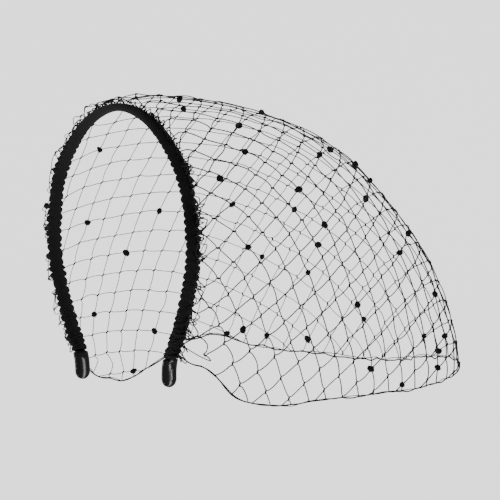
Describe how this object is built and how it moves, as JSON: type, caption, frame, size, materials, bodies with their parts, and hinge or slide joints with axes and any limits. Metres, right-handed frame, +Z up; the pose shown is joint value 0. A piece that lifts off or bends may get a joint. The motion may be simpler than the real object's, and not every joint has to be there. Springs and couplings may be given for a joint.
{
  "type": "mesh veil headband",
  "caption": "Slim hair hoop in a gathered black cover with a long dotted mesh veil sewn along it, shown in its worn form.",
  "frame": {"origin": "inner face of the covered hoop at its top, where the crown of the head touches it", "axes": "+Z up, -Y the way the wearer looks and the veil reaches, +X to the wearer's left"},
  "size_m": [0.1765, 0.232, 0.1788],
  "materials": {
    "hoop_plastic": "polished black",
    "cover_cloth": "matte gathered cloth",
    "veiling": "fine twisted thread with soft tufts"
  },
  "bodies": {
    "root": {"hair_hoop": "hoop_plastic", "band_cover": "cover_cloth", "veil": "veiling"}
  },
  "joints": []
}
